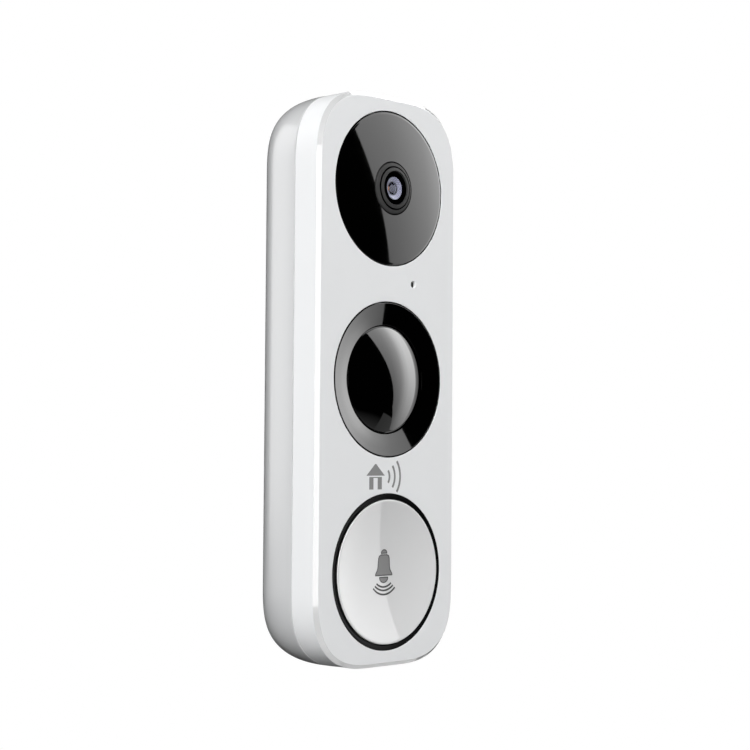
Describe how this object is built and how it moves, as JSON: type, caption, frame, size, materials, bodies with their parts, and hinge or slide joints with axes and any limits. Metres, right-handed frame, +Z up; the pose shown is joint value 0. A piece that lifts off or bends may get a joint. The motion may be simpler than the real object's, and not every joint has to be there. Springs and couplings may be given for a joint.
{
  "type": "video doorbell",
  "caption": "Slim wall-mounted video doorbell: chamfered faceplate with camera window, domed motion sensor and lit round push button, rounded rear housing hung on a wall bracket.",
  "frame": {"origin": "on the wall bracket's back face, where it meets the wall, at the body's mid-height and mid-width", "axes": "+Z up along the length, +Y into the wall (the doorbell faces -Y), +X to the right as a visitor faces it; the wall is the plane y = 0"},
  "size_m": [0.0462, 0.0249, 0.131],
  "materials": {
    "shell": "satin",
    "rear_shell": "satin",
    "chassis": "satin",
    "bracket": "satin",
    "black_gloss": "gloss",
    "window_glass": "gloss",
    "pir_lens": "gloss",
    "lens_glass": "polished",
    "button_cap": "gloss",
    "light_ring": "gloss",
    "rubber_seal": "matte",
    "circuit_board": "satin",
    "chip": "satin",
    "tinned_steel": "satin",
    "screw_steel": "satin",
    "brass": "satin",
    "flex_circuit": "satin"
  },
  "bodies": {
    "bracket": {"wall_bracket": "bracket"},
    "unit": {"front_chassis": "chassis", "rear_housing": "rear_shell", "housing_seal": "rubber_seal", "terminal_screw_left": "brass", "terminal_screw_right": "brass", "terminal_plate_left": "brass", "terminal_plate_right": "brass", "camera_window": "window_glass", "window_seal": "rubber_seal", "lens_collar": "black_gloss", "lens_barrel": "black_gloss", "front_lens": "lens_glass", "rear_lens": "lens_glass", "lens_holder": "chip", "ir_cut_coil": "flex_circuit", "image_sensor": "chip", "sensor_board": "circuit_board", "ir_led_board": "circuit_board", "light_sensor": "lens_glass", "pir_bezel": "black_gloss", "pir_lens": "pir_lens", "pir_retainer": "chassis", "pir_sensor": "tinned_steel", "pir_board": "circuit_board", "light_ring": "light_ring", "button_seal": "rubber_seal", "button_switch": "chip", "button_board": "circuit_board", "mic_gasket": "rubber_seal", "microphone": "tinned_steel", "mic_flex": "flex_circuit", "speaker": "chip", "main_board": "circuit_board", "processor_shield": "tinned_steel", "radio_module": "tinned_steel", "power_inductor": "chip", "card_socket": "tinned_steel", "backup_capacitor": "chip", "antenna": "flex_circuit", "reset_switch": "chip", "board_connector": "chip", "housing_screw_1": "screw_steel", "ir_led_1": "lens_glass", "housing_screw_2": "screw_steel", "ir_led_2": "lens_glass", "housing_screw_3": "screw_steel", "ir_led_3": "lens_glass", "housing_screw_4": "screw_steel", "ir_led_4": "lens_glass"},
    "faceplate": {"faceplate": "shell", "speaker_grille": "black_gloss"},
    "button": {"button_cap": "button_cap", "switch_plunger": "black_gloss"},
    "reset_button": {"reset_button": "black_gloss"},
    "security_screw": {"security_screw": "screw_steel"},
    "ir_filter": {"ir_cut_filter": "lens_glass"}
  },
  "joints": [
    {"name": "unit_release", "type": "slide", "parent": "bracket", "child": "unit", "axis": [0, 0, 1], "range_m": [0, 0.007]},
    {"name": "faceplate_release", "type": "slide", "parent": "unit", "child": "faceplate", "axis": [0, -1, 0], "range_m": [0, 0.012]},
    {"name": "button_press", "type": "slide", "parent": "unit", "child": "button", "axis": [0, 1, 0], "range_m": [0, 0.0006], "stiffness_N_per_m": 900, "springref_m": -0.0015},
    {"name": "reset_press", "type": "slide", "parent": "unit", "child": "reset_button", "axis": [0, 1, 0], "range_m": [0, 0.0004], "stiffness_N_per_m": 600, "springref_m": -0.001},
    {"name": "security_screw_out", "type": "slide", "parent": "unit", "child": "security_screw", "axis": [0, 0, -1], "range_m": [0, 0.003]},
    {"name": "ir_filter_shift", "type": "slide", "parent": "unit", "child": "ir_filter", "axis": [-1, 0, 0], "range_m": [0, 0.0056]}
  ]
}
